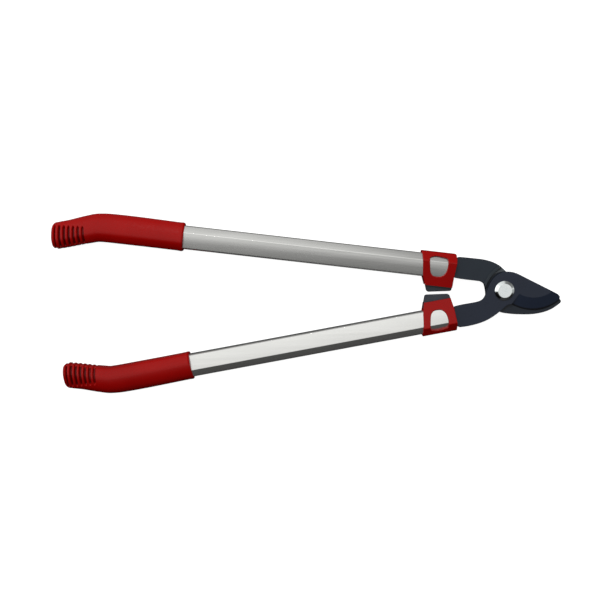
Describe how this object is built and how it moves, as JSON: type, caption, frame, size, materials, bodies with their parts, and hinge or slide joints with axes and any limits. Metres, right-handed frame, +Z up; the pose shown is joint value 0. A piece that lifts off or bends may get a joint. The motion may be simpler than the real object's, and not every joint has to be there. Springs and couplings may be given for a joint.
{
  "type": "long-handled pruning shears",
  "caption": "Two-handed bypass pruning shears: hooked counter-blade and bevelled cutting blade on a pivot bolt, faceted aluminium handles with red collars, bumpers and bent grooved grips.",
  "frame": {"origin": "where the pivot axis meets the surface the shears lie on, at the centre of the pivot bolt's end face", "axes": "+X along the shears towards the blade tip, +Z up along the pivot axis towards the bolt's head, +Y towards the hook side's handle"},
  "size_m": [0.6456, 0.2322, 0.0284],
  "materials": {
    "blade_coat": "dark slate non-stick coating, satin",
    "tube_alu": "satin anodised, drawn along its length",
    "red_collar": "moulded red plastic, semi-gloss",
    "red_grip": "moulded red grip, satin",
    "bumper_rubber": "dark slate rubber, matte",
    "core_plastic": "black filled nylon, inside",
    "pin_steel": "plain steel spring pins",
    "bright_zinc": "bright zinc plated and lightly polished",
    "spring_steel": "blued spring steel",
    "bronze": "sintered bronze, oiled",
    "nylon": "natural nylon locking ring"
  },
  "bodies": {
    "hook_side": {"hook_blade": "blade_coat", "hook_tube": "tube_alu", "hook_collar": "red_collar", "hook_bumper": "bumper_rubber", "hook_grip": "red_grip", "hook_grip_core": "core_plastic", "hook_tang_insert": "core_plastic", "hook_tang_pins": "pin_steel", "pivot_bolt": "bright_zinc", "head_washer": "bright_zinc", "spring_washer": "spring_steel", "lock_nut": "bright_zinc", "nut_insert": "nylon"},
    "blade_side": {"cutting_blade": "blade_coat", "blade_tube": "tube_alu", "blade_collar": "red_collar", "blade_bumper": "bumper_rubber", "blade_grip": "red_grip", "blade_grip_core": "core_plastic", "blade_tang_insert": "core_plastic", "blade_tang_pins": "pin_steel", "pivot_bush": "bronze"}
  },
  "joints": [
    {"name": "blade_pivot", "type": "hinge", "parent": "hook_side", "child": "blade_side", "pos_m": [0, 0, 0], "axis": [0, 0, 1], "range_deg": [-2.1, 42]}
  ]
}
